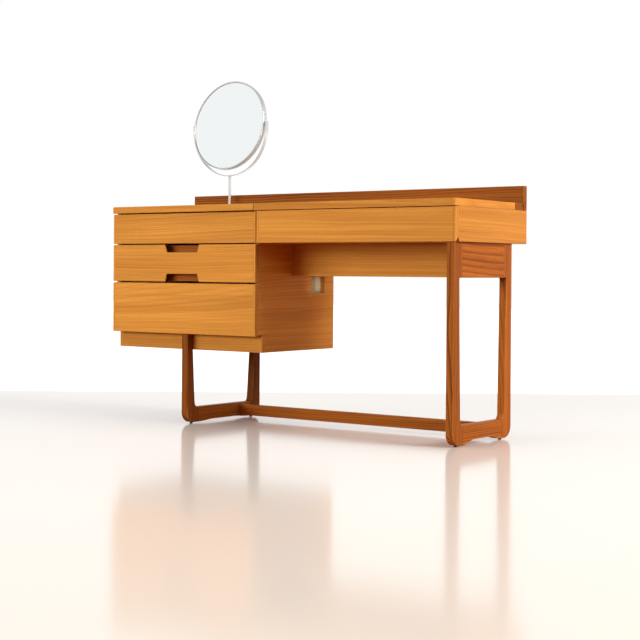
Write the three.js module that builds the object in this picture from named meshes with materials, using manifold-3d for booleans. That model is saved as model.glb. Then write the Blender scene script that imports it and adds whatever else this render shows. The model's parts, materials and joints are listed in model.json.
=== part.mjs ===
// A teak dressing table: a pedestal of three drawers, a wide shallow drawer over the knee space,
// two sled leg frames joined by a stretcher, and a round mirror in a half-ring yoke.
// Millimetres, +Z up, front towards -Y, origin on the floor under the middle of the desk.
import * as THREE from 'three';
import { mergeVertices } from 'three/addons/utils/BufferGeometryUtils.js';
import Module from 'manifold-3d';

const wasm = await Module();
wasm.setup();

// ---- Driving dimensions. x runs from the left end, y from the front edge of the top, z from the floor.
const WIDTH = 1370;
const DEPTH = 430;
const TOP_HEIGHT = 725;
const TOP_THICKNESS = 22;
const TOP_DEPTH = 355;
const TOP_SEAM_X = 621;
const PEDESTAL_WIDTH = 628;
const PEDESTAL_FLOOR = 246.5;
const DESK_FLOOR = 599;
const PANEL = 18;
const GAP = 0.3;

const FRONT_FACE = 4;
const FRONT_THICKNESS = 18;
const FRONT_SPANS = [[599, 699], [472, 595], [299.5, 467]];
const WIDE_FRONT = { left: 631, bottom: 599, top: 701 };

const RAIL_DEPTH = 48;
const RAIL_SHADOW_GAP = 1.5;
const UPSTAND_THICKNESS = 20;
const UPSTAND_TOP = 780;
const UPSTAND_LEFT = 11;

const KICK_FACE = 39.7;
const KICK_TOP = 303;
const APRON_FACE = 204;
const APRON_BOTTOM = 494;
const BACK_THICKNESS = 6;
const BACK_INSET = 8;
const DESK_BOTTOM_THICKNESS = 12;

const BOX_SIDE = 12;
const BOX_BACK = 10;
const BOX_BOTTOM = 5;
const BOX_BOTTOM_RAISE = 8;
const BOX_CLEARANCE = 1.3;
const SMALL_BOX_REAR = 299;
const WIDE_BOX_REAR = 392;
const SMALL_BOX_SPANS = [[617, 688], [484, 584], [309, 440]];
const WIDE_BOX_TOP = 690;
const INNER_FRONT_FACE = 36;
const INNER_FRONT_MARGIN = 2;
const RUNNER_HEIGHT = 12;
const RUNNER_REACH = 7;
const GROOVE_DEPTH = 6.3;
const GROOVE_PLAY = 0.4;

const FINGER_MOUTH = 151;
const FINGER_THROAT = 134;
const FINGER_DEPTH = 26;
const FINGER_LAND = 5;
const FINGER_FLARE = 12;
const WIDE_PULL_HEIGHT = 14;
const WIDE_PULL_REACH = 15;

const CABLE_HOLE = { front: 306, rear: 377, bottom: 435, top: 491 };
const REAR_POST = { left: 588, front: 378, bottom: 442, top: 690 };

const LEG_WIDTH = 26;
const LEFT_FRAME_X = 310.5;
const RIGHT_FRAME_X = 1335;
const FRAME_FRONT = 11;
const LEFT_FRAME_REAR = 395;
const RIGHT_FRAME_REAR = 354;
const FOOT_BOTTOM = 4.5;
const FOOT_RADIUS = 35;
const FOOT_LENGTH = 56;
const LEG_TO_DRAWER_GAP = 1;
const RAIL_TOP = { left: 54.5, right: 62 };
const ARCH_RISE = { left: 4.5, right: 11 };
const LEG_FOOT_DEPTH = { left: { front: 38, rear: 43 }, right: { front: 42, rear: 42 } };
const LEG_TOP_DEPTH = { left: { front: 25.5, rear: 31 }, right: { front: 33, rear: 33 } };
const LEG_FILLET = 11;
const HEAD_LENGTH = 47;
const HEAD_FILLET = 7;
const GLIDE_RADIUS = 5;
const GLIDE_CHAMFER = 1;
const GLIDE_Y = { left: { front: 46, rear: 360 }, right: { front: 46, rear: 308 } };
const STRETCHER = { front: 281, rear: 301, bottom: 12, top: 49 };

const MIRROR_X = 203;
const MIRROR_Y = 381;
const PIVOT_HEIGHT = 1026;
const MIRROR_TILT = THREE.MathUtils.degToRad(9);
const MIRROR_RADIUS = 160.5;
const DRUM_THICKNESS = 26;
const DRUM_WALL = 2;
const DRUM_CHAMFER = 2;
const GLASS_THICKNESS = 5;
const GLASS_RECESS = 1;
const YOKE_RADIUS = 168.5;
const YOKE_DROP = 11;
const YOKE_STRAP = 3;
const YOKE_WIDTH = 14;
const YOKE_RISE = 8;
const PIN_RADIUS = 3;
const PIN_SETBACK = 1;
const ROD_RADIUS = 5;
const ROD_DEPTH_IN_RAIL = 20;
const SOCKET_RADIUS = 7.5;
const SOCKET_FLANGE = 10;
const SOCKET_FLANGE_HEIGHT = 2;
const ROUND_SEGMENTS = 72;
const SMALL_SEGMENTS = 24;
const YOKE_SEGMENTS = 48;
const CURVE_SEGMENTS = 12;
// How far a cutter runs past the faces that it cuts through.
const OVERRUN = 10;

// ---- Sizes that follow from them.
const TOP_UNDERSIDE = TOP_HEIGHT - TOP_THICKNESS;
const CARCASS_TOP = TOP_UNDERSIDE - GAP;
const CARCASS_FRONT = FRONT_FACE + FRONT_THICKNESS + GAP;
const UPSTAND_FRONT = DEPTH - UPSTAND_THICKNESS;
const RAIL_FRONT = TOP_DEPTH + RAIL_SHADOW_GAP;
const PEDESTAL_INNER = [PANEL, PEDESTAL_WIDTH - PANEL];
const WIDE_INNER = [PEDESTAL_WIDTH, WIDTH - PANEL];

// ---- Materials.
const finish = (color, roughness, metalness) => {
  return () => new THREE.MeshStandardMaterial({ color, roughness, metalness });
};
const goldenTeak = finish(0xc98a45, 0.42, 0);
const darkTeak = finish(0x7a4424, 0.45, 0);
const paleWood = finish(0xd9bf94, 0.6, 0);
const satinSteel = finish(0xb9bab8, 0.3, 1);
const mirrorGlass = finish(0xe6ebec, 0.02, 1);
const blackPlastic = finish(0x2a2320, 0.6, 0);

const group = new THREE.Group();
const desk = new THREE.Group();
desk.position.set(-WIDTH / 2, -DEPTH / 2, 0);
group.add(desk);

function addPiece(name, geometry, material, parent = desk) {
  const mesh = new THREE.Mesh(geometry, material);
  mesh.name = name;
  parent.add(mesh);
  return mesh;
}

function block([x0, x1], [y0, y1], [z0, z1]) {
  const geometry = new THREE.BoxGeometry(x1 - x0, y1 - y0, z1 - z0);
  return geometry.translate((x0 + x1) / 2, (y0 + y1) / 2, (z0 + z1) / 2);
}

function extrude(shape, depth, curveSegments = CURVE_SEGMENTS) {
  return new THREE.ExtrudeGeometry(shape, { depth, bevelEnabled: false, curveSegments });
}

// Extrudes an outline drawn in (y, z) from x0 to x1.
function extrudeAlongX(shape, [x0, x1]) {
  const basis = new THREE.Matrix4().makeBasis(
    new THREE.Vector3(0, 1, 0),
    new THREE.Vector3(0, 0, 1),
    new THREE.Vector3(1, 0, 0),
  );
  return extrude(shape, x1 - x0).applyMatrix4(basis).translate(x0, 0, 0);
}

// Extrudes an outline drawn in (x, z) from y0 to y1.
function extrudeAlongY(shape, [y0, y1]) {
  return extrude(shape, y1 - y0).rotateX(Math.PI / 2).translate(0, y1, 0);
}

function polygon(points) {
  return new THREE.Shape(points.map(([u, v]) => new THREE.Vector2(u, v)));
}

function bar(radius, length) {
  return new THREE.CylinderGeometry(radius, radius, length, SMALL_SEGMENTS);
}

// Turns a profile of [radius, height] pairs about a vertical axis.
function turned(profile, segments) {
  const points = profile.map(([radius, height]) => new THREE.Vector2(radius, height));
  return new THREE.LatheGeometry(points, segments).rotateX(Math.PI / 2);
}

function toSolid(geometry) {
  const bare = geometry.clone();
  bare.deleteAttribute('normal');
  bare.deleteAttribute('uv');
  const merged = mergeVertices(bare);
  const vertProperties = new Float32Array(merged.attributes.position.array);
  const triVerts = new Uint32Array(merged.index.array);
  return new wasm.Manifold(new wasm.Mesh({ numProp: 3, vertProperties, triVerts }));
}

function cut(geometry, ...cutters) {
  let solid = toSolid(geometry);
  for (const cutter of cutters) {
    solid = solid.subtract(toSolid(cutter));
  }
  const { vertProperties, triVerts } = solid.getMesh();
  const result = new THREE.BufferGeometry();
  result.setAttribute('position', new THREE.BufferAttribute(new Float32Array(vertProperties), 3));
  result.setIndex(new THREE.BufferAttribute(new Uint32Array(triVerts), 1));
  return result;
}

// ---- Top, mirror rail and upstand.
function addTop() {
  const top = [TOP_UNDERSIDE, TOP_HEIGHT];
  addPiece('top_left', block([0, TOP_SEAM_X - GAP], [0, TOP_DEPTH], top), goldenTeak());
  addPiece('top_right', block([TOP_SEAM_X + GAP, WIDTH], [0, TOP_DEPTH], top), goldenTeak());
  const upstand = block([UPSTAND_LEFT, WIDTH], [UPSTAND_FRONT, DEPTH], [TOP_UNDERSIDE, UPSTAND_TOP]);
  addPiece('upstand', upstand, darkTeak());
  const rail = block([0, WIDTH], [RAIL_FRONT, RAIL_FRONT + RAIL_DEPTH], top);
  const hole = bar(SOCKET_RADIUS + GAP, 2 * (TOP_THICKNESS + OVERRUN)).rotateX(Math.PI / 2);
  addPiece('mirror_rail', cut(rail, hole.translate(MIRROR_X, MIRROR_Y, TOP_HEIGHT)), darkTeak());
}

// ---- Pedestal carcass. The lower front corners of its sides are notched for the kick panel.
function pedestalSide() {
  const kickRear = KICK_FACE + PANEL + GAP;
  return polygon([
    [kickRear, PEDESTAL_FLOOR], [DEPTH, PEDESTAL_FLOOR], [DEPTH, CARCASS_TOP],
    [CARCASS_FRONT, CARCASS_TOP], [CARCASS_FRONT, KICK_TOP], [kickRear, KICK_TOP],
  ]);
}

function addPedestal() {
  const [innerLeft, innerRight] = PEDESTAL_INNER;
  addPiece('pedestal_side_left', extrudeAlongX(pedestalSide(), [0, PANEL]), goldenTeak());
  const { front, rear, bottom, top } = CABLE_HOLE;
  const right = extrudeAlongX(pedestalSide(), [innerRight, PEDESTAL_WIDTH]);
  const hole = block([innerRight - OVERRUN, PEDESTAL_WIDTH + OVERRUN], [front, rear], [bottom, top]);
  addPiece('pedestal_side_right', cut(right, hole), goldenTeak());
  const between = [innerLeft + GAP, innerRight - GAP];
  const backFront = DEPTH - BACK_INSET - BACK_THICKNESS;
  const kick = [KICK_FACE, KICK_FACE + PANEL];
  addPiece('kick_panel', block([0, PEDESTAL_WIDTH], kick, [PEDESTAL_FLOOR, KICK_TOP - GAP]), goldenTeak());
  const floor = [PEDESTAL_FLOOR, PEDESTAL_FLOOR + PANEL];
  addPiece('pedestal_bottom', block(between, [kick[1] + GAP, backFront - GAP], floor), paleWood());
  const back = block(between, [backFront, backFront + BACK_THICKNESS], [PEDESTAL_FLOOR, CARCASS_TOP]);
  addPiece('pedestal_back', back, paleWood());
  // A corner post joins the right side to the back, behind the cable hole.
  const post = block(
    [REAR_POST.left, innerRight - GAP],
    [REAR_POST.front, backFront - GAP],
    [REAR_POST.bottom, REAR_POST.top],
  );
  addPiece('rear_post', post, paleWood());
}

// ---- Box for the wide drawer, hung between the pedestal and the right leg frame.
function addDeskBox() {
  const [innerLeft, innerRight] = WIDE_INNER;
  const between = [innerLeft + GAP, innerRight - GAP];
  const height = [DESK_FLOOR, CARCASS_TOP];
  addPiece('desk_side_right', block([innerRight, WIDTH], [CARCASS_FRONT, DEPTH], height), goldenTeak());
  const floor = [DESK_FLOOR, DESK_FLOOR + DESK_BOTTOM_THICKNESS];
  const backFront = DEPTH - PANEL;
  addPiece('desk_bottom', block(between, [CARCASS_FRONT, backFront - GAP], floor), goldenTeak());
  addPiece('desk_back', block(between, [backFront, DEPTH], height), goldenTeak());
  const apron = block(
    [innerLeft + GAP, RIGHT_FRAME_X - GAP],
    [APRON_FACE, APRON_FACE + PANEL],
    [APRON_BOTTOM, DESK_FLOOR - GAP],
  );
  addPiece('apron', apron, goldenTeak());
}

// ---- Drawers.
function fingerCutter(mouthZ, throatZ, centreX) {
  const outward = Math.sign(mouthZ - throatZ);
  const slope = (FINGER_MOUTH - FINGER_THROAT) / 2 / FINGER_DEPTH;
  const trapezoid = (grow) => {
    const half = FINGER_THROAT / 2 + grow;
    const inner = throatZ - outward * grow;
    const outer = mouthZ + outward * OVERRUN;
    const outerHalf = half + slope * Math.abs(outer - inner);
    const points = [
      [centreX - half, inner], [centreX + half, inner],
      [centreX + outerHalf, outer], [centreX - outerHalf, outer],
    ];
    return polygon(outward > 0 ? points : points.reverse());
  };
  const landRear = FRONT_FACE + FINGER_LAND;
  const frontRear = FRONT_FACE + FRONT_THICKNESS;
  const straight = extrudeAlongY(trapezoid(0), [FRONT_FACE - OVERRUN, frontRear + OVERRUN]);
  const flared = flareAlongY(trapezoid(0), trapezoid(FINGER_FLARE), landRear, frontRear);
  return [straight, flared];
}

// A closed solid between two outlines of equal point count in (x, z): the first at y0, the second at y1.
// It runs on past y1 at the second outline's size.
function flareAlongY(first, second, y0, y1) {
  const rings = [[first, y0], [second, y1], [second, y1 + OVERRUN]];
  const count = first.getPoints().length;
  const position = [];
  for (const [shape, y] of rings) {
    for (const point of shape.getPoints()) {
      position.push(point.x, y, point.y);
    }
  }
  const index = [];
  for (let ring = 0; ring < rings.length - 1; ring += 1) {
    for (let i = 0; i < count; i += 1) {
      const next = (i + 1) % count;
      const [a, b] = [ring * count + i, ring * count + next];
      index.push(a, a + count, b, b, a + count, b + count);
    }
  }
  const last = (rings.length - 1) * count;
  for (let i = 1; i < count - 1; i += 1) {
    index.push(0, i, i + 1);
    index.push(last, last + i + 1, last + i);
  }
  const geometry = new THREE.BufferGeometry();
  geometry.setAttribute('position', new THREE.BufferAttribute(new Float32Array(position), 3));
  geometry.setIndex(index);
  return geometry;
}

// A drawer side, grooved along its outer face where it has a runner. outer is the x of that face.
function drawerSide(outer, inward, [z0, z1], grooveZ) {
  const inner = outer + inward * BOX_SIDE;
  const groove = outer + inward * GROOVE_DEPTH;
  const outline = [[outer, z0], [inner, z0], [inner, z1], [outer, z1]];
  if (grooveZ !== null) {
    const half = RUNNER_HEIGHT / 2 + GROOVE_PLAY;
    outline.push([outer, grooveZ + half], [groove, grooveZ + half]);
    outline.push([groove, grooveZ - half], [outer, grooveZ - half]);
  }
  return polygon(outline);
}

function addDrawerBox(name, [left, right], span, rear, grooveZ, boxFront) {
  const length = [CARCASS_FRONT, rear];
  addPiece(`${name}_side_left`, extrudeAlongY(drawerSide(left, 1, span, grooveZ), length), paleWood());
  addPiece(`${name}_side_right`, extrudeAlongY(drawerSide(right, -1, span, grooveZ), length), paleWood());
  const between = [left + BOX_SIDE + GAP, right - BOX_SIDE - GAP];
  const backFront = rear - BOX_BACK;
  addPiece(`${name}_back`, block(between, [backFront, rear], span), paleWood());
  const bottomZ = span[0] + BOX_BOTTOM_RAISE;
  const bottom = block(between, [boxFront + GAP, backFront - GAP], [bottomZ, bottomZ + BOX_BOTTOM]);
  addPiece(`${name}_bottom`, bottom, paleWood());
}

function addPedestalDrawers() {
  const [innerLeft, innerRight] = PEDESTAL_INNER;
  const box = [innerLeft + BOX_CLEARANCE, innerRight - BOX_CLEARANCE];
  const frontY = [FRONT_FACE, FRONT_FACE + FRONT_THICKNESS];
  FRONT_SPANS.forEach((span, i) => {
    const name = `drawer_${i + 1}`;
    let front = block([0, PEDESTAL_WIDTH], frontY, span);
    let boxFront = frontY[1];
    if (i === 1) {
      const centre = PEDESTAL_WIDTH / 2;
      const upper = fingerCutter(span[1], span[1] - FINGER_DEPTH, centre);
      const lower = fingerCutter(span[0], span[0] + FINGER_DEPTH, centre);
      front = cut(front, ...upper, ...lower);
      boxFront = INNER_FRONT_FACE + BOX_SIDE;
      const inner = block(
        [box[0] + BOX_SIDE + GAP, box[1] - BOX_SIDE - GAP],
        [INNER_FRONT_FACE, boxFront],
        [span[0] + INNER_FRONT_MARGIN, span[1] - INNER_FRONT_MARGIN],
      );
      addPiece(`${name}_inner_front`, inner, darkTeak());
    }
    addPiece(`${name}_front`, front, goldenTeak());
    const boxSpan = SMALL_BOX_SPANS[i];
    const grooveZ = (boxSpan[0] + boxSpan[1]) / 2;
    addDrawerBox(name, box, boxSpan, SMALL_BOX_REAR, grooveZ, boxFront);
    addRunners(i + 1, grooveZ);
  });
}

function addRunners(number, centreZ) {
  const [innerLeft, innerRight] = PEDESTAL_INNER;
  const height = [centreZ - RUNNER_HEIGHT / 2, centreZ + RUNNER_HEIGHT / 2];
  const length = [CARCASS_FRONT + PANEL, SMALL_BOX_REAR];
  const left = block([innerLeft + GAP, innerLeft + RUNNER_REACH], length, height);
  const right = block([innerRight - RUNNER_REACH, innerRight - GAP], length, height);
  addPiece(`runner_${number}_left`, left, paleWood());
  addPiece(`runner_${number}_right`, right, paleWood());
}

// The wide drawer slides on the desk bottom. Its front is bevelled behind the lower edge as a finger pull.
function addWideDrawer() {
  const { left, bottom, top } = WIDE_FRONT;
  const rear = FRONT_FACE + FRONT_THICKNESS;
  const section = polygon([
    [FRONT_FACE, bottom], [rear - WIDE_PULL_REACH, bottom],
    [rear, bottom + WIDE_PULL_HEIGHT], [rear, top], [FRONT_FACE, top],
  ]);
  addPiece('drawer_4_front', extrudeAlongX(section, [left, WIDTH]), goldenTeak());
  const [innerLeft, innerRight] = WIDE_INNER;
  const box = [innerLeft + BOX_CLEARANCE, innerRight - BOX_CLEARANCE];
  const boxSpan = [DESK_FLOOR + DESK_BOTTOM_THICKNESS + GAP, WIDE_BOX_TOP];
  addDrawerBox('drawer_4', box, boxSpan, WIDE_BOX_REAR, null, rear);
}

// ---- Leg frames. An upright is drawn from its outer face at u = 0 inwards, then placed or mirrored in y.
function uprightOutline(side, end, topZ, hasHead) {
  const shape = new THREE.Shape();
  const railTop = RAIL_TOP[side];
  const topDepth = LEG_TOP_DEPTH[side][end];
  const footDepth = LEG_FOOT_DEPTH[side][end];
  const filletTop = railTop + LEG_FILLET + FOOT_LENGTH - footDepth;
  shape.moveTo(0, topZ);
  shape.lineTo(0, FOOT_BOTTOM + FOOT_RADIUS);
  shape.absarc(FOOT_RADIUS, FOOT_BOTTOM + FOOT_RADIUS, FOOT_RADIUS, Math.PI, 1.5 * Math.PI, false);
  shape.lineTo(FOOT_LENGTH, FOOT_BOTTOM);
  shape.lineTo(FOOT_LENGTH, railTop);
  shape.quadraticCurveTo(footDepth, railTop, footDepth, filletTop);
  if (hasHead) {
    shape.lineTo(topDepth, APRON_BOTTOM - HEAD_FILLET);
    shape.quadraticCurveTo(topDepth, APRON_BOTTOM, topDepth + HEAD_FILLET, APRON_BOTTOM);
    shape.lineTo(HEAD_LENGTH, APRON_BOTTOM);
    shape.lineTo(HEAD_LENGTH, topZ);
  } else {
    shape.lineTo(topDepth, topZ);
  }
  return shape;
}

function placeUpright(outline, frameX, outerY, inward) {
  const points = outline.getPoints(CURVE_SEGMENTS).map((point) => [outerY + inward * point.x, point.y]);
  const ordered = inward > 0 ? points : points.reverse();
  return extrudeAlongX(polygon(ordered), [frameX, frameX + LEG_WIDTH]);
}

// The bottom rail's underside is a low arch between the feet.
function bottomRailOutline(side, y0, y1) {
  const shape = new THREE.Shape();
  const arch = FOOT_BOTTOM + ARCH_RISE[side];
  const third = (y1 - y0) / 3;
  const [bendFront, bendRear] = [y0 + third / 2, y1 - third / 2];
  shape.moveTo(y0, RAIL_TOP[side]);
  shape.lineTo(y0, FOOT_BOTTOM);
  shape.bezierCurveTo(bendFront, FOOT_BOTTOM, bendFront, arch, y0 + third, arch);
  shape.lineTo(y1 - third, arch);
  shape.bezierCurveTo(bendRear, arch, bendRear, FOOT_BOTTOM, y1, FOOT_BOTTOM);
  shape.lineTo(y1, RAIL_TOP[side]);
  return shape;
}

function addFrame(side, frameX, rear, frontTop, rearTop, hasHead) {
  const across = [frameX, frameX + LEG_WIDTH];
  const frontLeg = uprightOutline(side, 'front', frontTop, hasHead);
  const rearLeg = uprightOutline(side, 'rear', rearTop, hasHead);
  addPiece(`${side}_front_leg`, placeUpright(frontLeg, frameX, FRAME_FRONT, 1), darkTeak());
  addPiece(`${side}_rear_leg`, placeUpright(rearLeg, frameX, rear, -1), darkTeak());
  const rail = bottomRailOutline(side, FRAME_FRONT + FOOT_LENGTH + GAP, rear - FOOT_LENGTH - GAP);
  addPiece(`${side}_bottom_rail`, extrudeAlongX(rail, across), darkTeak());
  if (hasHead) {
    const between = [FRAME_FRONT + HEAD_LENGTH + GAP, rear - HEAD_LENGTH - GAP];
    addPiece(`${side}_top_rail`, block(across, between, [APRON_BOTTOM, frontTop]), darkTeak());
  }
  for (const [end, y] of Object.entries(GLIDE_Y[side])) {
    const profile = [
      [0, 0], [GLIDE_RADIUS - GLIDE_CHAMFER, 0], [GLIDE_RADIUS, GLIDE_CHAMFER],
      [GLIDE_RADIUS, FOOT_BOTTOM - GAP], [0, FOOT_BOTTOM - GAP],
    ];
    const glide = turned(profile, SMALL_SEGMENTS).translate(frameX + LEG_WIDTH / 2, y, 0);
    addPiece(`glide_${side}_${end}`, glide, blackPlastic());
  }
}

function addLegs() {
  const pedestalUnderside = PEDESTAL_FLOOR - GAP;
  const drawerUnderside = FRONT_SPANS[2][0] - LEG_TO_DRAWER_GAP;
  addFrame('left', LEFT_FRAME_X, LEFT_FRAME_REAR, drawerUnderside, pedestalUnderside, false);
  addFrame('right', RIGHT_FRAME_X, RIGHT_FRAME_REAR, DESK_FLOOR - GAP, DESK_FLOOR - GAP, true);
  const { front, rear, bottom, top } = STRETCHER;
  const length = [LEFT_FRAME_X + LEG_WIDTH + GAP, RIGHT_FRAME_X - GAP];
  addPiece('stretcher', block(length, [front, rear], [bottom, top]), darkTeak());
}

// ---- Mirror. The rod turns in its socket, and the drum tilts on two pins at the yoke's ends.
// The yoke's half ring is centred a little below the pivots, and its arms run straight up past them.
function yokeOutline() {
  const inner = YOKE_RADIUS - YOKE_STRAP;
  const shape = new THREE.Shape();
  shape.moveTo(-YOKE_RADIUS, YOKE_RISE);
  shape.lineTo(-YOKE_RADIUS, -YOKE_DROP);
  shape.absarc(0, -YOKE_DROP, YOKE_RADIUS, Math.PI, 2 * Math.PI, false);
  shape.lineTo(YOKE_RADIUS, YOKE_RISE);
  shape.lineTo(inner, YOKE_RISE);
  shape.lineTo(inner, -YOKE_DROP);
  shape.absarc(0, -YOKE_DROP, inner, 2 * Math.PI, Math.PI, true);
  shape.lineTo(-inner, YOKE_RISE);
  return shape;
}

function addMirror() {
  const stand = new THREE.Group();
  stand.position.set(MIRROR_X, MIRROR_Y, 0);
  desk.add(stand);

  const bushInner = ROD_RADIUS + GAP;
  const flangeTop = TOP_HEIGHT + GAP + SOCKET_FLANGE_HEIGHT;
  const socketBottom = TOP_UNDERSIDE + GAP;
  const socket = [
    [bushInner, socketBottom], [SOCKET_RADIUS, socketBottom], [SOCKET_RADIUS, TOP_HEIGHT + GAP],
    [SOCKET_FLANGE, TOP_HEIGHT + GAP], [SOCKET_FLANGE, flangeTop], [bushInner, flangeTop],
    [bushInner, socketBottom],
  ];
  addPiece('mirror_socket', turned(socket, SMALL_SEGMENTS), satinSteel(), stand);

  const rodBottom = TOP_HEIGHT - ROD_DEPTH_IN_RAIL;
  const rodTop = PIVOT_HEIGHT - YOKE_DROP - YOKE_RADIUS - GAP;
  const rod = [[0, rodBottom], [ROD_RADIUS, rodBottom], [ROD_RADIUS, rodTop], [0, rodTop]];
  addPiece('mirror_rod', turned(rod, SMALL_SEGMENTS), satinSteel(), stand);

  const yoke = extrude(yokeOutline(), YOKE_WIDTH, YOKE_SEGMENTS).rotateX(Math.PI / 2);
  addPiece('mirror_yoke', yoke.translate(0, YOKE_WIDTH / 2, PIVOT_HEIGHT), satinSteel(), stand);

  const drum = new THREE.Group();
  drum.position.set(0, 0, PIVOT_HEIGHT);
  drum.rotation.x = -MIRROR_TILT;
  stand.add(drum);
  const half = DRUM_THICKNESS / 2;
  const wallInner = MIRROR_RADIUS - DRUM_WALL;
  const shellProfile = [
    [0, -half], [MIRROR_RADIUS - DRUM_CHAMFER, -half], [MIRROR_RADIUS, DRUM_CHAMFER - half],
    [MIRROR_RADIUS, half], [wallInner, half], [wallInner, DRUM_WALL - half], [0, DRUM_WALL - half],
  ];
  // The profiles' axis is turned to the mirror's normal, with the open side of the shell to the front.
  const facing = Math.PI / 2;
  const shell = turned(shellProfile, ROUND_SEGMENTS).rotateX(facing);
  const pinHole = bar(PIN_RADIUS + GAP, 2 * (MIRROR_RADIUS + OVERRUN)).rotateZ(Math.PI / 2);
  addPiece('mirror_shell', cut(shell, pinHole), satinSteel(), drum);
  const glassFront = half - GLASS_RECESS;
  const glassRear = glassFront - GLASS_THICKNESS;
  const glassRadius = wallInner - GAP;
  const glassProfile = [
    [0, glassRear], [glassRadius, glassRear], [glassRadius, glassFront], [0, glassFront],
  ];
  addPiece('mirror_glass', turned(glassProfile, ROUND_SEGMENTS).rotateX(facing), mirrorGlass(), drum);

  const [pinOuter, pinInner] = [YOKE_RADIUS - YOKE_STRAP - GAP, wallInner + PIN_SETBACK];
  for (const [side, sign] of [['left', -1], ['right', 1]]) {
    const pin = bar(PIN_RADIUS, pinOuter - pinInner).rotateZ(Math.PI / 2);
    pin.translate((sign * (pinOuter + pinInner)) / 2, 0, PIVOT_HEIGHT);
    addPiece(`pivot_pin_${side}`, pin, satinSteel(), stand);
  }
}

addTop();
addPedestal();
addDeskBox();
addPedestalDrawers();
addWideDrawer();
addLegs();
addMirror();

export default group;
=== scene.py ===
import json
import math
import random

import bmesh
import bpy
from mathutils import Matrix, Vector


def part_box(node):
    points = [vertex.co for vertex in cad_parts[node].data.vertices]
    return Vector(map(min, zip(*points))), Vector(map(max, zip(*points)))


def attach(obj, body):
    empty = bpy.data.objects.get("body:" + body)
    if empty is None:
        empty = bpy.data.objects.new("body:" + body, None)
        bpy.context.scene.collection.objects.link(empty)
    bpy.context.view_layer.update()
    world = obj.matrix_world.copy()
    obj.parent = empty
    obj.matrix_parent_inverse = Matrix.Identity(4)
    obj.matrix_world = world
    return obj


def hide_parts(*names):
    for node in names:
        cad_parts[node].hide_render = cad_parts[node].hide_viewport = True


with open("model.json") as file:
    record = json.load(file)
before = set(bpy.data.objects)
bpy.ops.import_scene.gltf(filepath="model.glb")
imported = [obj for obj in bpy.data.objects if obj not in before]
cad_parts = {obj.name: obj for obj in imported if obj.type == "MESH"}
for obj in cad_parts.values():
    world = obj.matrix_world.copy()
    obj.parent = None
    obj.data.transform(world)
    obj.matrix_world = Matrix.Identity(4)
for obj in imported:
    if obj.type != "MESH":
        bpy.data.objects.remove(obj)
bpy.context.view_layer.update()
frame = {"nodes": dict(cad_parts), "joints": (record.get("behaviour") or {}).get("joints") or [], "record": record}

# ---- Sizes, in metres. Places come from the frame.
MM = 0.001
JOINT_GAP = 0.3 * MM

# How far apart points that are welded, points on a cut and points on a joint's plane may be. Faces
# that meet within FLAT become one, and edges that turn more than SHARP are rounded.
WELD = 1e-6
ON_CUT = 1e-7
ON_PLANE = 0.05 * MM
FLAT = math.radians(0.5)
SHARP = math.radians(30)

# Edge radii of the boards in view, the legs and the wood inside, and the chamfer round a joint.
BOARD_EDGE = 1.1 * MM
LEG_EDGE = 3.0 * MM
INSIDE_EDGE = 0.7 * MM
JOINT_EDGE = 0.45 * MM
EDGE_STEPS = 4

# Strips at the ends of boards: their widths, and how much paler they are, in tenths. The thinnest
# strip, on the right end face of the small drawer fronts, is painted darker as shade. HAIRLINE is
# half the gap beside a strip, and SEAM what is trimmed off where the two halves of the top meet.
LIPPING = 8.0 * MM
LIPPING_TONE = 1.2
END_SHADE_STRIP = 1.2 * MM
END_SHADE_TONE = -2.6
HAIRLINE = 0.08 * MM
SEAM = 1.1 * MM

# Steps round the mirror and round small turned parts, along the yoke, and along the arcs that round
# a profile's corner and its strap's. An arc takes up at most this share of each side it joins.
ROUND_STEPS = 160
SMALL_STEPS = 48
YOKE_STEPS = 96
ARC_STEPS = 5
STRAP_ARC_STEPS = 4
ARC_SHARE = 0.45

# The mirror's drum and glass. The drum's flat back is a share of its width.
DRUM_LEAN = math.radians(9)
DRUM_LIP = 4.5 * MM
DRUM_BACK_SHARE = 0.72
DRUM_BACK_EDGE = 5.0 * MM
RIM_EDGE = 1.8 * MM
GLASS_RECESS = 3.2 * MM
GLASS_BED = 6.0 * MM
GLASS_THICKNESS = 5.0 * MM
GLASS_GAP = 0.2 * MM
GLASS_BEVEL = (1.0 * MM, 0.8 * MM)

# The rod, its bush, the yoke's strap, the pivot pins and the glides.
ROD_COLLAR = (5.4 * MM, 4.0 * MM)
COLLAR_TAPER = 0.6
ROD_EDGE = 0.8 * MM
FLANGE_WIDTH = 3.0 * MM
FLANGE_EDGE = 0.9 * MM
BORE_EDGE = 0.5 * MM
STRAP = 3.0 * MM
STRAP_EDGE = 0.8 * MM
LEAST_STRAP_EDGE = 0.1 * MM
STRAP_TIPS = [(0.7 * MM, 0.0), (0.25 * MM, 0.25 * MM), (0.0, 0.8 * MM)]
PIN_EDGE = 0.4 * MM
PIN_HEAD = (4.0 * MM, 0.8 * MM)
PIN_HEAD_TAPER = 0.8
PIN_HEAD_EDGE = 1.2 * MM
GLIDE_EDGE = 1.2 * MM

CAMERA_AT = (2.867, -3.820, 0.511)
CAMERA_YAW = math.radians(36.47)
CAMERA_ROLL = math.radians(0.40)
CAMERA_LENS = 81.9
CAMERA_SHIFT = -0.0767
CAMERA_REACH = 100
SENSOR = 36.0

# The floor turns bright white behind a line, like the foot of a white wall. Distances count along
# +Y turned by WALL_TURN towards -X.
FLOOR_REACH = 14.0
FLOOR_SPAN = (-4.0, 3.0)
FLOOR_TONES = [(0.0, (0.80, 0.71, 0.63)), (0.35, (0.90, 0.82, 0.75)), (0.76, (0.87, 0.82, 0.78))]
FLOOR_ROUGHNESS = 0.13
FLOOR_SPECULAR = 0.35
WALL_LINE = 1.32
WALL_BLEND = 0.05
WALL_GLOW = 0.45
WALL_TURN = math.radians(37)

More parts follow.
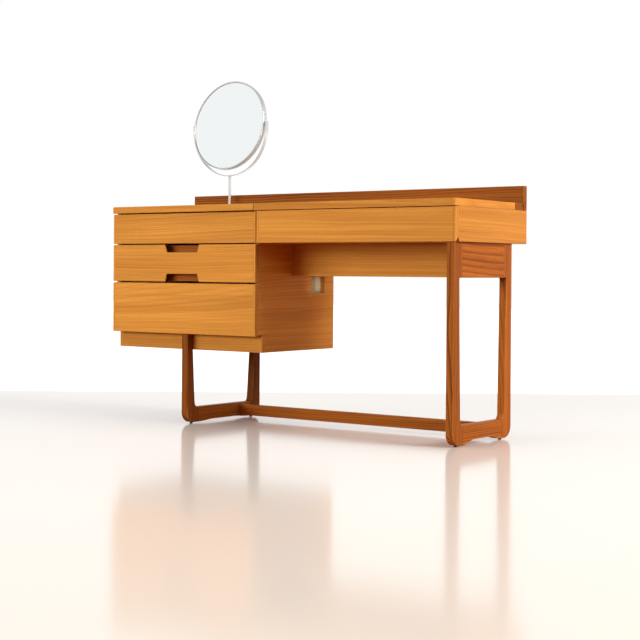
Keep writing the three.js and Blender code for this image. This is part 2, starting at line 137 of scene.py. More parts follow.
# The room's colours, and the heights on the sky's sphere between which each pair blends.
ROOM_ABOVE = (0.58, 0.58, 0.58)
ROOM_BELOW = (0.26, 0.064, 0.006)
ROOM_BLEND = (-0.05, 0.30)
WALLS = (1.0, 1.0, 1.0)
CEILING = (0.42, 0.41, 0.40)
CEILING_BLEND = (0.42, 0.75)

# The lamp that shines into the cable hole: where it points, measured from the post's right front
# edge, and where it stands from there.
HOLE_BESIDE = 9 * MM
HOLE_BEFORE = 36 * MM
HOLE_HEIGHT = 0.463
HOLE_LAMP_AWAY = (1.55, -2.10, 0.05)
HOLE_LAMP_ANGLE = math.radians(1.5)
HOLE_LAMP_BLEND = 0.25
HOLE_LAMP_RADIUS = 0.02
HOLE_LAMP_POWER = 150

# How much paler than the usual board of its wood each of these is, in tenths, and how far any board
# strays from that. The rear post's paleness is painted light from the cable hole, the left frame's
# darkness painted shade under the pedestal, and the right frame's paleness painted light from the right.
TENTH = 0.10
TONE_SPREAD = 0.5
BOARD_TONE = {
    "top_left": -0.6, "top_right": -0.7, "drawer_2_front": 0.8, "drawer_4_front": 0.5,
    "kick_panel": -1.5, "pedestal_side_right": -0.8, "rear_post": 4.0,
    "left_front_leg": -2.2, "left_rear_leg": -5.5, "left_bottom_rail": -2.2,
    "right_front_leg": 2.0, "right_rear_leg": 2.0, "right_top_rail": 2.0, "right_bottom_rail": 3.6,
}

# How far the top rail's grain runs off its length, and how much wider than usual its rings are.
TOP_RAIL_SLOPE = 0.15
TOP_RAIL_COARSE = 3.2

# How much brushed lines on turned metal waver along its axis, and how strongly large faces set the
# normals of the rounded edges beside them, as Blender counts it.
BRUSH_WAVER = 0.2
NORMAL_WEIGHT = 80

AXIS_NUMBER = {"x": 0, "y": 1, "z": 2}


# ---- Node helpers.
def new_shader(name):
    material = bpy.data.materials.new(name)
    material.use_nodes = True
    tree = material.node_tree
    tree.nodes.clear()
    output = tree.nodes.new("ShaderNodeOutputMaterial")
    surface = tree.nodes.new("ShaderNodeBsdfPrincipled")
    tree.links.new(surface.outputs["BSDF"], output.inputs["Surface"])
    return material, tree, surface


def set_inputs(tree, node, values):
    """Sets a node's inputs: a socket is linked, and anything else becomes the input's own value."""
    for key, value in values.items():
        if isinstance(value, bpy.types.NodeSocket):
            tree.links.new(value, node.inputs[key])
        else:
            node.inputs[key].default_value = value


def add_node(tree, kind, values=None, **settings):
    node = tree.nodes.new("ShaderNode" + kind)
    for key, value in settings.items():
        setattr(node, key, value)
    set_inputs(tree, node, values or {})
    return node


def calculate(tree, operation, a, b=0.0, c=0.0):
    return add_node(tree, "Math", {0: a, 1: b, 2: c}, operation=operation).outputs[0]


def noise(tree, vector, scale, detail=2.0, roughness=0.5):
    """Noise from 0 to 1, whose scale is in repeats per metre along each axis."""
    scaled = add_node(tree, "VectorMath", {0: vector, 1: scale}, operation="MULTIPLY").outputs[0]
    values = {"Vector": scaled, "Scale": 1.0, "Detail": detail, "Roughness": roughness}
    return add_node(tree, "TexNoise", values).outputs[0]


def remap(tree, value, low, high, to_low=0.0, to_high=1.0):
    values = {
        "Value": value, "From Min": low, "From Max": high, "To Min": to_low, "To Max": to_high,
    }
    return add_node(tree, "MapRange", values, clamp=True).outputs[0]


def mix(tree, factor, a, b):
    """A blend of two colours, each a socket or three numbers."""
    a, b = (
        colour if isinstance(colour, bpy.types.NodeSocket) else (*colour, 1.0) for colour in (a, b)
    )
    node = add_node(tree, "Mix", data_type="RGBA")
    set_inputs(tree, node, {0: factor, 6: a, 7: b})
    return node.outputs[2]


def ramp(tree, factor, stops):
    node = add_node(tree, "ValToRGB", {"Fac": factor})
    elements = node.color_ramp.elements
    while len(elements) < len(stops):
        elements.new(0.5)
    for element, (place, colour) in zip(elements, stops):
        element.position = place
        element.color = (*colour, 1.0)
    return node.outputs[0]


def attribute(tree, name, output="Vector"):
    return add_node(tree, "Attribute", attribute_name=name).outputs[output]


# ---- Materials.
def growth_rings(tree, grain, ring, sway):
    """Two patterns about the tree's heart: coordinates that follow the rings, and the late wood."""
    apart = add_node(tree, "SeparateXYZ", {"Vector": grain}).outputs
    bend = remap(tree, noise(tree, grain, (1.3, 5.0, 5.0)), 0.25, 0.75, -sway, sway)
    small = 0.05 * sway
    shiver = remap(tree, noise(tree, grain, (6.0, 26.0, 26.0)), 0.25, 0.75, -small, small)
    across = calculate(tree, "ADD", calculate(tree, "ADD", apart[1], bend), shiver)
    through = calculate(tree, "MULTIPLY_ADD", apart[0], 0.03, apart[2])
    squared = calculate(tree, "MULTIPLY", through, through)
    from_heart = calculate(tree, "SQRT", calculate(tree, "MULTIPLY_ADD", across, across, squared))
    along = calculate(tree, "MULTIPLY", apart[0], 0.02)
    ringed = add_node(tree, "CombineXYZ", {0: from_heart, 1: along}).outputs[0]
    uneven = remap(tree, noise(tree, ringed, (14.0, 6.0, 1.0)), 0.2, 0.8, -2.6, 2.6)
    turns = calculate(tree, "ADD", calculate(tree, "DIVIDE", from_heart, ring), uneven)
    shares = [(0.0, 0.0), (0.5, 0.2), (0.85, 1.0), (0.94, 0.7), (1.0, 0.0)]
    stops = [(place, (share,) * 3) for place, share in shares]
    return ringed, ramp(tree, calculate(tree, "FRACT", turns), stops)


def wood(name, light, dark, vein, wear_and_highlight, ring, sway, contrast, roughness, specular):
    """Wood whose grain runs along the first axis of the mesh's grain coordinates, in metres. Its
    colour goes from light to dark, with vein in its late wood and pores, and its rounded edges are
    painted paler: partly rubbed wear, partly a painted highlight. ring is the usual distance between
    two growth rings, sway how far they wander and contrast how much of the vein's colour they take."""
    material, tree, surface = new_shader(name)
    grain = attribute(tree, "grain")
    ringed, late_wood = growth_rings(tree, grain, ring, sway)
    broad = noise(tree, ringed, (0.75 / ring, 6.0, 1.0), 3.0, 0.6)
    fine = noise(tree, ringed, (3.2 / ring, 90.0, 1.0), 3.0, 0.6)
    patches = noise(tree, grain, (1.1, 9.0, 9.0), 3.0)
    streaks = noise(tree, grain, (1.6, 95.0, 95.0), 3.0, 0.6)
    fibres = noise(tree, grain, (9.0, 520.0, 520.0), 3.0, 0.6)
    pores = noise(tree, grain, (55.0, 2200.0, 2200.0), 1.0)

    depth = 0.0
    for pattern, low, high, share in (
        (broad, 0.34, 0.66, 0.32), (fine, 0.34, 0.66, 0.18),
        (streaks, 0.34, 0.66, 0.34), (fibres, 0.25, 0.75, 0.16),
    ):
        depth = calculate(tree, "MULTIPLY_ADD", remap(tree, pattern, low, high), share, depth)
    tone = mix(tree, depth, light, dark)
    ring_share = calculate(tree, "MULTIPLY", late_wood, remap(tree, patches, 0.3, 0.7, 0.35, 1.0))
    tone = mix(tree, calculate(tree, "MULTIPLY", ring_share, contrast), tone, vein)
    in_pore = remap(tree, pores, 0.60, 0.70)
    tone = mix(tree, calculate(tree, "MULTIPLY", in_pore, 0.35), tone, vein)
    own_tone = calculate(tree, "MULTIPLY_ADD", attribute(tree, "tone", "Fac"), TENTH, 1.0)
    cloud = remap(tree, patches, 0.3, 0.7, 1.09, 0.90)
    brightness = calculate(tree, "MULTIPLY", own_tone, cloud)
    tone = add_node(
        tree, "VectorMath", {0: tone, "Scale": brightness}, operation="SCALE",
    ).outputs[0]
    # Rounded edges are painted paler: partly rubbed wear, partly a painted highlight.
    edge_patches = remap(tree, noise(tree, grain, (12.0, 40.0, 40.0)), 0.35, 0.65, 0.15, 0.7)
    rubbed_and_lit = calculate(tree, "MULTIPLY", attribute(tree, "wear_and_highlight", "Fac"), edge_patches)
    tone = mix(tree, rubbed_and_lit, tone, wear_and_highlight)

    sheen = remap(tree, fibres, 0.2, 0.8, roughness - 0.05, roughness + 0.08)
    gloss = calculate(tree, "MULTIPLY_ADD", in_pore, 0.12, sheen)
    ridges = remap(tree, fibres, 0.2, 0.8, 0.0, 0.35)
    relief = calculate(tree, "MULTIPLY_ADD", in_pore, -0.6, ridges)
    bump = add_node(tree, "Bump", {"Strength": 0.35, "Distance": 0.12 * MM, "Height": relief})
    set_inputs(tree, surface, {
        "Base Color": tone, "Roughness": gloss, "Normal": bump.outputs[0],
        "Specular IOR Level": specular,
    })
    return material


def steel(name):
    """Satin steel, brushed round its own axis."""
    material, tree, surface = new_shader(name)
    grain = attribute(tree, "grain")
    lines = noise(tree, grain, (40.0, 5200.0, 5200.0))
    smudge = noise(tree, grain, (18.0, 24.0, 24.0), 3.0)
    tone = mix(tree, remap(tree, lines, 0.3, 0.7), (0.60, 0.60, 0.59), (0.76, 0.76, 0.755))
    brushed = remap(tree, lines, 0.3, 0.7, 0.17, 0.25)
    gloss = calculate(tree, "ADD", brushed, remap(tree, smudge, 0.35, 0.7, 0.0, 0.07))
    bump = add_node(tree, "Bump", {"Strength": 0.15, "Distance": 0.02 * MM, "Height": lines})
    set_inputs(tree, surface, {
        "Base Color": tone, "Metallic": 1.0, "Roughness": gloss, "Normal": bump.outputs[0],
    })
    return material


def silvered_glass(name):
    """Mirror glass: silver behind clear glass, with faint marks in the polish."""
    material, tree, surface = new_shader(name)
    marks = noise(tree, attribute(tree, "grain"), (30.0, 30.0, 30.0), 4.0)
    tone = mix(tree, remap(tree, marks, 0.35, 0.65), (0.86, 0.89, 0.89), (0.89, 0.91, 0.915))
    gloss = remap(tree, marks, 0.45, 0.8, 0.012, 0.045)
    set_inputs(tree, surface, {"Base Color": tone, "Metallic": 1.0, "Roughness": gloss})
    return material


def plastic(name):
    """Dark moulded plastic with a fine texture."""
    material, tree, surface = new_shader(name)
    grain = attribute(tree, "grain")
    grit = noise(tree, grain, (900.0, 900.0, 900.0))
    dust = noise(tree, grain, (120.0, 120.0, 120.0), 3.0)
    tone = mix(tree, remap(tree, dust, 0.4, 0.75), (0.018, 0.014, 0.012), (0.05, 0.042, 0.036))
    bump = add_node(tree, "Bump", {"Strength": 0.3, "Distance": 0.05 * MM, "Height": grit})
    gloss = remap(tree, dust, 0.3, 0.7, 0.45, 0.62)
    set_inputs(tree, surface, {
        "Base Color": tone, "Roughness": gloss, "Normal": bump.outputs[0],
    })
    return material


slot_material = {
    "golden_teak": wood(
        "golden_teak", light=(0.78, 0.362, 0.067), dark=(0.49, 0.188, 0.026),
        vein=(0.34, 0.096, 0.011), wear_and_highlight=(0.74, 0.38, 0.09),
        ring=6.5 * MM, sway=10 * MM, contrast=0.40, roughness=0.42, specular=0.12,
    ),
    "dark_teak": wood(
        "dark_teak", light=(0.49, 0.154, 0.022), dark=(0.19, 0.046, 0.008),
        vein=(0.065, 0.014, 0.003), wear_and_highlight=(0.62, 0.24, 0.035),
        ring=6.0 * MM, sway=8 * MM, contrast=0.75, roughness=0.38, specular=0.06,
    ),
    "pale_wood": wood(
        "pale_wood", light=(0.64, 0.47, 0.28), dark=(0.54, 0.37, 0.19),
        vein=(0.42, 0.27, 0.13), wear_and_highlight=(0.68, 0.52, 0.34),
        ring=6.0 * MM, sway=12 * MM, contrast=0.30, roughness=0.62, specular=0.2,
    ),
    "satin_steel": steel("satin_steel"),
    "mirror_glass": silvered_glass("mirror_glass"),
    "black_plastic": plastic("black_plastic"),
}
node_slot = {row["node"]: row["material_slot"] for row in frame["record"]["subparts"]}
node_body = {
    node: body for body, nodes in frame["record"]["behaviour"]["bodies"].items() for node in nodes
}


# ---- Mesh helpers.
class Piece:
    """One visible piece: closed bodies in one mesh, with grain coordinates, tone and edges painted paler as wear
    and highlight.
    """

    def __init__(self, name):
        self.name = name
        self.points = []
        self.faces = []
        self.grain = []
        self.wear_and_highlight = []
        self.tone = []

    def add(self, bm, grain_of, rubbed_and_lit=(), tone=0.0):
        """Takes in a bmesh. grain_of turns a point into its grain coordinates, the third argument holds the
        vertices of the rounded edges, painted paler as rubbed wear and as a highlight, and tone is how
        much paler than usual the wood is, in tenths."""
        first = len(self.points)
        bm.verts.index_update()
        for vertex in bm.verts:
            self.points.append(tuple(vertex.co))
            self.grain.extend(grain_of(vertex.co))
            self.wear_and_highlight.append(1.0 if vertex in rubbed_and_lit else 0.0)
            self.tone.append(tone)
        for face in bm.faces:
            self.faces.append([first + vertex.index for vertex in face.verts])
        bm.free()

    def place(self, slot, body, nodes):
        """Makes the object, with normals that keep flat faces flat, hangs it on its body and hides the CAD nodes
        it stands for.
        """
        mesh = bpy.data.meshes.new(self.name)
        mesh.from_pydata(self.points, [], self.faces)
        for name, kind, field, values in (
            ("grain", "FLOAT_VECTOR", "vector", self.grain),
            ("wear_and_highlight", "FLOAT", "value", self.wear_and_highlight),
            ("tone", "FLOAT", "value", self.tone),
        ):
            mesh.attributes.new(name, kind, "POINT").data.foreach_set(field, values)
        mesh.polygons.foreach_set("use_smooth", [True] * len(mesh.polygons))
        mesh.materials.append(slot_material[slot])
        mesh.update()
        made = bpy.data.objects.new(self.name, mesh)
        bpy.context.scene.collection.objects.link(made)
        weighted = made.modifiers.new("weighted", "WEIGHTED_NORMAL")
        weighted.mode = "FACE_AREA"
        weighted.weight = NORMAL_WEIGHT
        weighted.keep_sharp = True
        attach(made, body)
        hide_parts(*nodes)


def corners(bm):
    low = Vector([min(vertex.co[i] for vertex in bm.verts) for i in range(3)])
    high = Vector([max(vertex.co[i] for vertex in bm.verts) for i in range(3)])
    return low, high


def grain_frame(name, order, centre, slope, coarse):
    """Grain coordinates for a board: order names the axes along, across and through it, such as
    "xzy". slope is how far the grain runs off the board's length, and coarse how much wider than
    usual its rings are. The name draws the board's place in the tree."""
    draw = random.Random(name)
    numbers = [AXIS_NUMBER[letter] for letter in order]
    along = draw.uniform(-6, 6)
    across = draw.choice((-1, 1)) * draw.uniform(0.13, 0.30)
    through = draw.uniform(0.05, 0.13)

    def grain_of(point):
        local = point - centre
        length = local[numbers[0]]
        width = local[numbers[1]] + slope * length
        return (length + along, width / coarse + across, local[numbers[2]] / coarse + through)

    return grain_of


def clean_copy(node):
    """The CAD node's solid as a bmesh, with its flat faces whole again."""
    bm = bmesh.new()
    bm.from_mesh(frame["nodes"][node].data)
    bmesh.ops.remove_doubles(bm, verts=bm.verts, dist=WELD)
    bmesh.ops.dissolve_limit(bm, angle_limit=FLAT, verts=bm.verts, edges=bm.edges)
    return bm


def stretch_of(bm, axis, low, high):
    """The part of a closed bmesh between two planes across an axis, closed again."""
    part = bm.copy()
    number = AXIS_NUMBER[axis]
    for limit, side in ((low, -1), (high, 1)):
        if limit is None:
            continue
        point, normal = Vector(), Vector()
        point[number] = limit - side * HAIRLINE
        normal[number] = side
        everything = [*part.verts, *part.edges, *part.faces]
        bmesh.ops.bisect_plane(
            part, geom=everything, dist=ON_CUT, plane_co=point, plane_no=normal, clear_outer=True,
        )
        rim = [edge for edge in part.edges if edge.is_boundary]
        bmesh.ops.holes_fill(part, edges=rim, sides=0)
    return part


def on_plane(edge, planes):
    """Whether an edge lies in one of the planes, each an axis letter and a place on it."""
    return any(
        all(abs(vertex.co[AXIS_NUMBER[axis]] - place) < ON_PLANE for vertex in edge.verts)
        for axis, place in planes
    )


def soften(bm, radius, joints):
    """Rounds the sharp edges, but leaves those in the joints' planes nearly sharp. Returns the
    vertices of the rounded edges, which the wood paints paler as rubbed wear and as a highlight."""
    sharp = [edge for edge in bm.edges if edge.calc_face_angle(0.0) > SHARP]
    rounded = [edge for edge in sharp if not on_plane(edge, joints)]
    made = bmesh.ops.bevel(
        bm, geom=rounded, offset=radius, offset_type="OFFSET", segments=EDGE_STEPS, profile=0.5,
        affect="EDGES", clamp_overlap=True,
    )
    bevelled = set(made["faces"])
    rubbed_and_lit = {
        vertex for face in bevelled for vertex in face.verts
        if all(other in bevelled for other in vertex.link_faces)
    }
    rims = [
        edge for edge in bm.edges if edge.calc_face_angle(0.0) > SHARP and on_plane(edge, joints)
    ]
    if rims:
        bmesh.ops.bevel(
            bm, geom=rims, offset=JOINT_EDGE, offset_type="OFFSET", segments=1,
            affect="EDGES", clamp_overlap=True,
        )
    bmesh.ops.recalc_face_normals(bm, faces=bm.faces)
    return {vertex for vertex in rubbed_and_lit if vertex.is_valid}


# ---- Boards.
def board(
    node, order, radius=BOARD_EDGE, joints=(), lippings=(), end_order=None,
    slope=0.0, coarse=1.0, span=(None, None),
):
    """Replaces a wooden CAD node. order, slope and coarse are as in grain_frame, and radius and
    joints as in soften. lippings are cuts along the board's first axis: the short stretches beyond
    them are strips of another tone, whose grain runs as end_order says. span trims the board along
    its first axis."""
    solid = clean_copy(node)
    piece = Piece(node + ".wood")
    number_along = AXIS_NUMBER[order[0]]
    seams = [(order[0], place + side * HAIRLINE) for place in lippings for side in (-1, 1)]
    own_tone = BOARD_TONE.get(node, 0.0) + random.Random(node).uniform(-TONE_SPREAD, TONE_SPREAD)
    cuts = [span[0], *lippings, span[1]]
    for number, (low, high) in enumerate(zip(cuts, cuts[1:])):
        part = stretch_of(solid, order[0], low, high)
        part_low, part_high = corners(part)
        length = part_high[number_along] - part_low[number_along]
        run, tone = order, own_tone
        if lippings and length < 2 * LIPPING:
            run = end_order
            tone = END_SHADE_TONE if length < 2 * END_SHADE_STRIP else LIPPING_TONE
        centre = (part_low + part_high) / 2
        grain_of = grain_frame(f"{node} {number}", run, centre, slope, coarse)
        rubbed_and_lit = soften(part, radius, [*joints, *seams])
        piece.add(part, grain_of, rubbed_and_lit, tone)
    solid.free()
    piece.place(node_slot[node], node_body[node], [node])


def end_lippings(node):
    low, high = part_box(node)
    return (low.x + LIPPING, high.x - LIPPING)


left_low, left_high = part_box("top_left")
board(
    "top_left", "xyz", lippings=[left_low.x + LIPPING], end_order="yxz",
    span=(None, left_high.x - SEAM),
)
right_low, right_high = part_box("top_right")
board(
    "top_right", "xyz", joints=[("z", right_low.z)], lippings=[right_high.x - LIPPING],
    end_order="yxz",
)

for number in range(1, 4):
    front = f"drawer_{number}_front"
    # A thin strip on each front's right end face is painted darker as the shade of the knee space.
    cuts = [*end_lippings(front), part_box(front)[1].x - END_SHADE_STRIP]
    board(front, "xzy", lippings=cuts, end_order="zxy")
front = "drawer_4_front"
wide_joint = [("z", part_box(front)[1].z)]
board(front, "xzy", joints=wide_joint, lippings=end_lippings(front), end_order="zxy")

for node, order in (
    ("upstand", "xzy"), ("mirror_rail", "xyz"), ("apron", "xzy"),
    ("desk_back", "xzy"), ("desk_side_right", "yzx"), ("pedestal_side_left", "yzx"),
    ("desk_bottom", "xyz"), ("kick_panel", "xzy"), ("pedestal_side_right", "yzx"),
):
    board(node, order)
for node, order in (
    ("pedestal_bottom", "xyz"), ("pedestal_back", "xzy"), ("drawer_2_inner_front", "xzy"),
    ("rear_post", "zxy"),
):
    board(node, order, INSIDE_EDGE)
for number in range(1, 5):
    for part, order in (
        ("side_left", "yzx"), ("side_right", "yzx"), ("back", "xzy"), ("bottom", "xyz"),
    ):
        board(f"drawer_{number}_{part}", order, INSIDE_EDGE)
for number in range(1, 4):
    for side in ("left", "right"):
        board(f"runner_{number}_{side}", "yzx", INSIDE_EDGE)


# ---- Leg frames. The uprights' grain runs up, and the rails' from front to back.
def rail_joints(node):
    """The planes of a rail's two ends, and those of the legs' faces they meet."""
    low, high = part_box(node)
    ends = [("y", low.y), ("y", high.y)]
    return ends, [("y", low.y - JOINT_GAP), ("y", high.y + JOINT_GAP)]


for side in ("left", "right"):
    rail = f"{side}_bottom_rail"
    ends, leg_joints = rail_joints(rail)
    board(rail, "yzx", LEG_EDGE, ends)
    if side == "right":
        rail = "right_top_rail"
        ends, head_joints = rail_joints(rail)
        top_joint = ("z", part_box(rail)[1].z)
        board(
            rail, "yzx", LEG_EDGE, [*ends, top_joint],
            slope=TOP_RAIL_SLOPE, coarse=TOP_RAIL_COARSE,
        )
        leg_joints += head_joints
    for end in ("front", "rear"):
        leg = f"{side}_{end}_leg"
        board(leg, "zyx", LEG_EDGE, [*leg_joints, ("z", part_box(leg)[1].z)])
stretcher_low, stretcher_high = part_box("stretcher")
board("stretcher", "xzy", LEG_EDGE, [("x", stretcher_low.x), ("x", stretcher_high.x)])


# ---- Turned and bent metal.
def round_corners(profile, radius):
    """A profile with an arc in place of each inner corner."""
    points = [Vector(profile[0])]
    for before, corner, after in zip(profile, profile[1:], profile[2:]):
        corner = Vector(corner)
        back = Vector(before) - corner
        ahead = Vector(after) - corner
        reach = min(radius, back.length * ARC_SHARE, ahead.length * ARC_SHARE)
        start, end = corner + back.normalized() * reach, corner + ahead.normalized() * reach
        for step in range(ARC_STEPS + 1):
            t = step / ARC_STEPS
            points.append(start.lerp(corner, t).lerp(corner.lerp(end, t), t))
    points.append(Vector(profile[-1]))
    return points


def skin(bm, rings, closed=False):
    """Faces from each ring of vertices to the next, with a cap at both ends, or with the last ring
    joined to the first when closed."""
    for before, after in zip(rings, rings[1:] + rings[:1] if closed else rings[1:]):
        for step in range(len(before)):
            following = (step + 1) % len(before)
            bm.faces.new((before[step], before[following], after[following], after[step]))
    if not closed:
        bm.faces.new(reversed(rings[0]))
        bm.faces.new(rings[-1])
    bmesh.ops.recalc_face_normals(bm, faces=bm.faces)


def add_turned(piece, profile, steps, matrix, closed=False):
    """Adds a solid turned about Z from (radius, height) points, which start and end on the axis, or
    when closed go all round the section of a ring. Its brushed lines run round the axis."""
    bm = bmesh.new()
    angles = [2 * math.pi * step / steps for step in range(steps)]
    rings = [
        [bm.verts.new((radius * math.cos(a), radius * math.sin(a), height)) for a in angles]
        for radius, height in (profile if closed else profile[1:-1])
    ]
    skin(bm, rings, closed)
    bm.transform(matrix)
    back = matrix.inverted()

    def grain_of(point):
        local = back @ point
        return (local.z * BRUSH_WAVER, local.z, math.hypot(local.x, local.y))

    piece.add(bm, grain_of)


joint = {row["name"]: row for row in frame["joints"]}
pivot = Vector(joint["mirror_tilt"]["pos_m"])
shell_low, shell_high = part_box("mirror_shell")
drum_radius = (shell_high.x - shell_low.x) / 2
leaning_height = 2 * drum_radius * math.cos(DRUM_LEAN)
half = (shell_high.z - shell_low.z - leaning_height) / math.sin(DRUM_LEAN) / 2
upright = Matrix.Rotation(math.pi / 2, 4, "X")
facing = Matrix.Translation(pivot) @ Matrix.Rotation(-DRUM_LEAN, 4, "X") @ upright

wall = drum_radius - DRUM_LIP
glass_face = half - GLASS_RECESS
drum = Piece("mirror_drum")
drum_profile = [
    (0, -half), (drum_radius * DRUM_BACK_SHARE, -half), (drum_radius, -half + DRUM_BACK_EDGE),
    (drum_radius, half), (wall, half), (wall, glass_face - GLASS_BED), (0, glass_face - GLASS_BED),
]
add_turned(drum, round_corners(drum_profile, RIM_EDGE), ROUND_STEPS, facing)
drum.place("satin_steel", "mirror", ["mirror_shell"])

glass_radius = wall - GLASS_GAP
glass_back = glass_face - GLASS_THICKNESS
bevel_width, bevel_height = GLASS_BEVEL
glass = Piece("mirror_plate")
glass_profile = [
    (0, glass_back), (glass_radius, glass_back), (glass_radius, glass_face - bevel_height),
    (glass_radius - bevel_width, glass_face), (0, glass_face),
]
add_turned(glass, glass_profile, ROUND_STEPS, facing)
glass.place("mirror_glass", "mirror", ["mirror_glass"])

rod_low, rod_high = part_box("mirror_rod")
rod_radius = (rod_high.x - rod_low.x) / 2
stand = Matrix.Translation(((rod_low.x + rod_high.x) / 2, (rod_low.y + rod_high.y) / 2, 0))
collar_radius, collar_height = ROD_COLLAR
rod = Piece("mirror_rod.turned")
rod_profile = [
    (0, rod_low.z), (rod_radius, rod_low.z), (rod_radius, rod_high.z - collar_height),
    (collar_radius, rod_high.z - COLLAR_TAPER * collar_height), (collar_radius, rod_high.z),
    (0, rod_high.z),
]
add_turned(rod, round_corners(rod_profile, ROD_EDGE), SMALL_STEPS, stand)
rod.place("satin_steel", "mirror_stand", ["mirror_rod"])

bush_low, bush_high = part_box("mirror_socket")
flange_radius = (bush_high.x - bush_low.x) / 2
bush_radius = flange_radius - FLANGE_WIDTH
flange_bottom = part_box("mirror_rail")[1].z + JOINT_GAP
bore = rod_radius + JOINT_GAP
bush = Piece("mirror_socket.bush")
bush_outline = [
    (bore, bush_low.z), (bush_radius, bush_low.z), (bush_radius, flange_bottom),
    (flange_radius, flange_bottom), (flange_radius, bush_high.z - FLANGE_EDGE),
    (flange_radius - FLANGE_EDGE, bush_high.z), (bore + BORE_EDGE, bush_high.z),
    (bore, bush_high.z - BORE_EDGE),
]
add_turned(bush, bush_outline, SMALL_STEPS, stand, closed=True)
bush.place("satin_steel", "desk", ["mirror_socket"])

yoke_low, yoke_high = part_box("mirror_yoke")
yoke_radius = (yoke_high.x - yoke_low.x) / 2
yoke_drop = pivot.z - yoke_low.z - yoke_radius
strap_width = yoke_high.y - yoke_low.y
rise = yoke_high.z - pivot.z


def strap_section(inset):
    """A rounded rectangle, as (outwards, sideways) points about the strap's middle."""
    half_out, half_side = STRAP / 2 - inset, strap_width / 2 - inset
    radius = max(STRAP_EDGE - inset, LEAST_STRAP_EDGE)
    points = []
    for out_sign, side_sign, start in ((1, 1, 0), (-1, 1, 90), (-1, -1, 180), (1, -1, 270)):
        for step in range(STRAP_ARC_STEPS + 1):
            angle = math.radians(start + 90 * step / STRAP_ARC_STEPS)
            points.append((
                out_sign * (half_out - radius) + radius * math.cos(angle),
                side_sign * (half_side - radius) + radius * math.sin(angle),
            ))
    return points


def yoke_stations():
    """Points along the strap from its left tip to its right one, each a place in (x, z) about the
    pivot, the outward way and how far the section is drawn in."""
    middle_radius = yoke_radius - STRAP / 2
    for inset, below in STRAP_TIPS:
        yield (-middle_radius, rise - below), (-1, 0), inset
    for step in range(YOKE_STEPS + 1):
        angle = math.pi + math.pi * step / YOKE_STEPS
        way = (math.cos(angle), math.sin(angle))
        yield (middle_radius * way[0], middle_radius * way[1] - yoke_drop), way, 0.0
    for inset, below in reversed(STRAP_TIPS):
        yield (middle_radius, rise - below), (1, 0), inset


yoke_bm = bmesh.new()
yoke_rings = [
    [
        yoke_bm.verts.new(pivot + Vector((x + out * out_x, sideways, z + out * out_z)))
        for out, sideways in strap_section(inset)
    ]
    for (x, z), (out_x, out_z), inset in yoke_stations()
]
skin(yoke_bm, yoke_rings)
yoke = Piece("mirror_yoke.strap")
yoke.add(yoke_bm, lambda point: (0.0, point.y, (point - pivot).length))
yoke.place("satin_steel", "mirror_stand", ["mirror_yoke"])

head_radius, head_height = PIN_HEAD
for side, sign in (("left", -1), ("right", 1)):
    node = f"pivot_pin_{side}"
    low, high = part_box(node)
    radius, length = (high.z - low.z) / 2, high.x - low.x
    start = high.x if sign < 0 else low.x
    turn = Matrix.Rotation(sign * math.pi / 2, 4, "Y")
    along = Matrix.Translation((start, pivot.y, pivot.z)) @ turn
    pin = Piece(node + ".turned")
    shank = [(0, 0), (radius, 0), (radius, length), (0, length)]
    add_turned(pin, round_corners(shank, PIN_EDGE), SMALL_STEPS, along)
    outside = length + JOINT_GAP + STRAP
    dome = [
        (0, outside), (head_radius, outside), (head_radius * PIN_HEAD_TAPER, outside + head_height),
        (0, outside + head_height),
    ]
    add_turned(pin, round_corners(dome, PIN_HEAD_EDGE), SMALL_STEPS, along)
    pin.place("satin_steel", "mirror_stand", [node])

for side in ("left", "right"):
    for end in ("front", "rear"):
        node = f"glide_{side}_{end}"
        low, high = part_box(node)
        radius = (high.x - low.x) / 2
        outline = [(0, low.z), (radius, low.z), (radius, high.z), (0, high.z)]
        seat = Matrix.Translation(((low.x + high.x) / 2, (low.y + high.y) / 2, 0))
        glide = Piece(node + ".moulded")
        add_turned(glide, round_corners(outline, GLIDE_EDGE), SMALL_STEPS, seat)
        glide.place("black_plastic", "desk", [node])


# ---- Stage, light and camera.
def pale_floor(name):
    """A smooth floor, warm round the table and bright white from WALL_LINE on."""
    material, tree, surface = new_shader(name)
    place = add_node(tree, "TexCoord").outputs["Object"]
    x, y, _ = add_node(tree, "SeparateXYZ", {"Vector": place}).outputs
    behind = calculate(tree, "MULTIPLY", y, math.cos(WALL_TURN))
    behind = calculate(tree, "MULTIPLY_ADD", x, -math.sin(WALL_TURN), behind)
    glow = remap(tree, behind, WALL_LINE, WALL_LINE + WALL_BLEND, 0.0, WALL_GLOW)
    set_inputs(tree, surface, {
        "Base Color": ramp(tree, remap(tree, behind, *FLOOR_SPAN), FLOOR_TONES),
        "Roughness": FLOOR_ROUGHNESS, "Specular IOR Level": FLOOR_SPECULAR,
        "Emission Color": (*WALLS, 1.0), "Emission Strength": glow,
    })
    return material


floor_mesh = bpy.data.meshes.new("floor")
floor_corners = [
    (x * FLOOR_REACH, y * FLOOR_REACH, 0) for x, y in ((-1, -1), (1, -1), (1, 1), (-1, 1))
]
floor_mesh.from_pydata(floor_corners, [], [(0, 1, 2, 3)])
floor_mesh.materials.append(pale_floor("pale_floor"))
floor = bpy.data.objects.new("floor", floor_mesh)
floor.visible_diffuse = False
bpy.context.scene.collection.objects.link(floor)

# The room is white with a grey ceiling. The light it sends to matt surfaces is soft from above and
# dim and warm from below.
world = bpy.data.worlds.new("studio")
bpy.context.scene.world = world
world.use_nodes = True
sky = world.node_tree
direction = add_node(sky, "TexCoord").outputs["Generated"]
height = add_node(sky, "SeparateXYZ", {"Vector": direction}).outputs[2]
glow = mix(sky, remap(sky, height, *ROOM_BLEND), ROOM_BELOW, ROOM_ABOVE)
room = mix(sky, remap(sky, height, *CEILING_BLEND), WALLS, CEILING)
on_matt = add_node(sky, "LightPath").outputs["Is Diffuse Ray"]
set_inputs(sky, sky.nodes["Background"], {"Color": mix(sky, on_matt, room, glow), "Strength": 1.0})


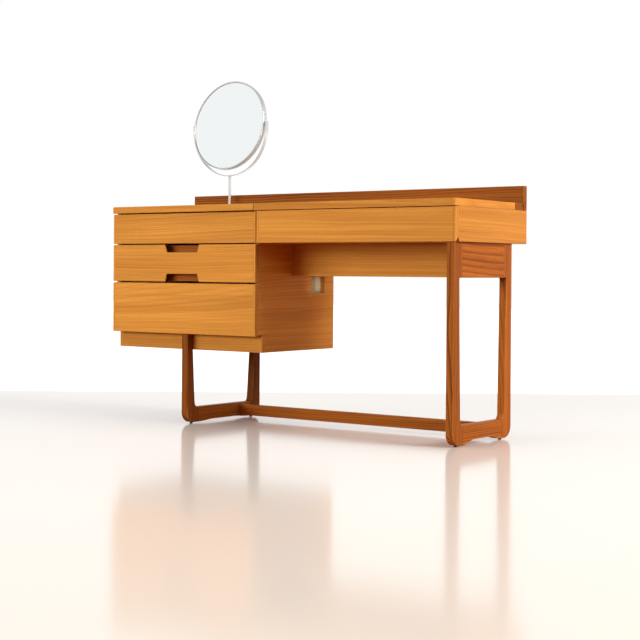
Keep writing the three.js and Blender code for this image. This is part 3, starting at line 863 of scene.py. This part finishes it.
def aimed(name, lamp, at, target):
    """A lamp at a place, pointing at a target and out of the camera's sight."""
    made = bpy.data.objects.new(name, lamp)
    bpy.context.scene.collection.objects.link(made)
    made.visible_camera = False
    made.location = at
    made.rotation_mode = "QUATERNION"
    made.rotation_quaternion = (Vector(target) - Vector(at)).to_track_quat("-Z", "Y")
    return made


def softbox(name, at, target, size, power, colour):
    lamp = bpy.data.lights.new(name, "AREA")
    lamp.shape = "RECTANGLE"
    lamp.size, lamp.size_y = size
    lamp.energy = power
    lamp.color = colour
    return aimed(name, lamp, at, target)


softbox(
    "key", at=(7.8, 0.6, 4.8), target=(0.0, 0.0, 0.5), size=(3.4, 3.2), power=560,
    colour=(1.0, 0.99, 0.92),
)
fill = softbox(
    "fill", at=(-3.6, -7.0, 1.7), target=(0.0, 0.0, 0.5), size=(6.0, 2.4), power=500,
    colour=(1.0, 1.0, 0.97),
)
fill.visible_glossy = False
softbox(
    "bounce", at=(3.6, 0.9, 0.3), target=(0.0, 0.1, 0.3), size=(1.2, 0.5), power=30,
    colour=(1.0, 0.60, 0.22),
)

# A narrow lamp from the front reaches the post behind the cable hole.
post_low, post_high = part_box("rear_post")
hole = Vector((post_high.x + HOLE_BESIDE, post_low.y - HOLE_BEFORE, HOLE_HEIGHT))
hole_lamp = bpy.data.lights.new("hole_lamp", "SPOT")
hole_lamp.spot_size = HOLE_LAMP_ANGLE
hole_lamp.spot_blend = HOLE_LAMP_BLEND
hole_lamp.shadow_soft_size = HOLE_LAMP_RADIUS
hole_lamp.energy = HOLE_LAMP_POWER
aimed("hole_lamp", hole_lamp, hole + Vector(HOLE_LAMP_AWAY), hole)

camera = bpy.data.cameras.new("camera")
camera.sensor_width = SENSOR
camera.lens = CAMERA_LENS
camera.shift_y = CAMERA_SHIFT
camera.clip_end = CAMERA_REACH
eye = bpy.data.objects.new("camera", camera)
bpy.context.scene.collection.objects.link(eye)
level = Matrix.Rotation(CAMERA_YAW, 4, "Z") @ Matrix.Rotation(math.pi / 2, 4, "X")
eye.matrix_world = Matrix.Translation(CAMERA_AT) @ level @ Matrix.Rotation(CAMERA_ROLL, 4, "Z")
bpy.context.scene.camera = eye
bpy.context.scene.view_settings.view_transform = "Standard"
